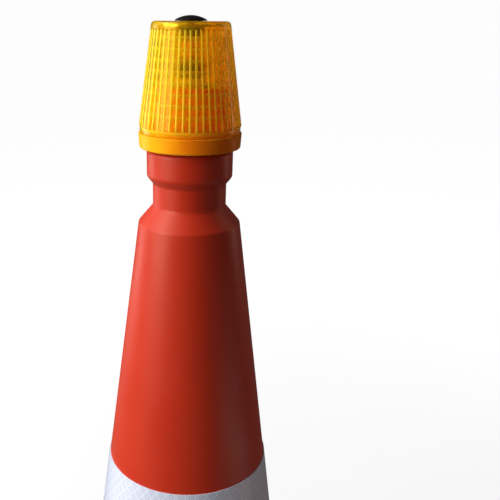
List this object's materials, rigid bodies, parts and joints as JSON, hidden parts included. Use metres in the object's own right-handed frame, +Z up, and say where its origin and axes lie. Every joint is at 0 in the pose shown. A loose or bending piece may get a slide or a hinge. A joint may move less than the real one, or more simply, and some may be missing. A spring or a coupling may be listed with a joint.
{
  "type": "traffic cone with warning lamp",
  "caption": "Tall hollow traffic cone on a square base, with a reflective sleeve and a lift-out battery warning lamp under a fluted amber lens.",
  "frame": {"origin": "centre of the base's footprint, on the ground", "axes": "+Z up along the cone's axis; +X and +Y across the sides of the square base"},
  "size_m": [0.51, 0.51, 1.1284],
  "materials": {
    "red_plastic": "satin moulded polyethylene",
    "black_rubber": "matt recycled rubbery PVC",
    "reflective_white": "prismatic retroreflective sheet",
    "amber_housing": "glossy opaque amber moulding",
    "amber_lens": "clear amber polycarbonate",
    "seal_rubber": "matt",
    "black_plastic": "satin",
    "tower_plastic": "satin amber moulding",
    "white_plastic": "satin",
    "bolt_black": "black zinc, satin",
    "zinc_steel": "bright zinc",
    "spring_steel": "nickel plated",
    "insert_brass": "machined",
    "cell_jacket": "printed jacket, plain",
    "board_green": "solder mask",
    "chip_black": "epoxy",
    "button_grey": "matt",
    "led_epoxy": "clear amber epoxy",
    "sensor_clear": "smoked epoxy",
    "lead_red": "insulation"
  },
  "bodies": {
    "cone": {"cone_body": "red_plastic", "cone_base": "black_rubber", "reflective_sleeve": "reflective_white"},
    "lamp": {"lamp_housing": "amber_housing", "collar_gasket": "seal_rubber", "spigot_grip": "seal_rubber", "lens_seal": "seal_rubber", "inner_cover": "amber_housing", "cover_screws": "zinc_steel", "control_board": "board_green", "board_parts": "chip_black", "button_switch": "chip_black", "photocell": "sensor_clear", "battery_tube": "black_plastic", "tube_screws": "zinc_steel", "positive_contact": "spring_steel", "battery_upper": "cell_jacket", "battery_lower": "cell_jacket", "return_strip": "spring_steel", "led_tower": "tower_plastic", "thread_insert": "insert_brass", "led_carrier": "black_plastic", "leds": "led_epoxy", "reflector_ring": "white_plastic", "led_leads": "lead_red"},
    "button": {"power_button": "button_grey"},
    "lens": {"lens": "amber_lens"},
    "bolt": {"lens_bolt": "bolt_black", "bolt_washer": "seal_rubber", "bolt_collar": "black_plastic"},
    "cap": {"battery_cap": "black_plastic", "cap_seal": "seal_rubber", "cap_contact": "spring_steel", "contact_spring": "spring_steel"}
  },
  "joints": [
    {"name": "lamp_lift", "type": "slide", "parent": "cone", "child": "lamp", "axis": [0, 0, 1], "range_m": [0, 0.12]},
    {"name": "lens_lift", "type": "slide", "parent": "lamp", "child": "lens", "axis": [0, 0, 1], "range_m": [0, 0.11]},
    {"name": "bolt_turn", "type": "hinge", "parent": "lens", "child": "bolt", "pos_m": [0, 0, 1.123], "axis": [0, 0, 1], "continuous": true},
    {"name": "button_press", "type": "slide", "parent": "lamp", "child": "button", "axis": [0, 0, -1], "range_m": [0, 0.0015], "stiffness_N_per_m": 1500},
    {"name": "cap_turn", "type": "hinge", "parent": "lamp", "child": "cap", "pos_m": [0, 0, 0.928], "axis": [0, 0, 1], "range_deg": [0, 45]}
  ]
}
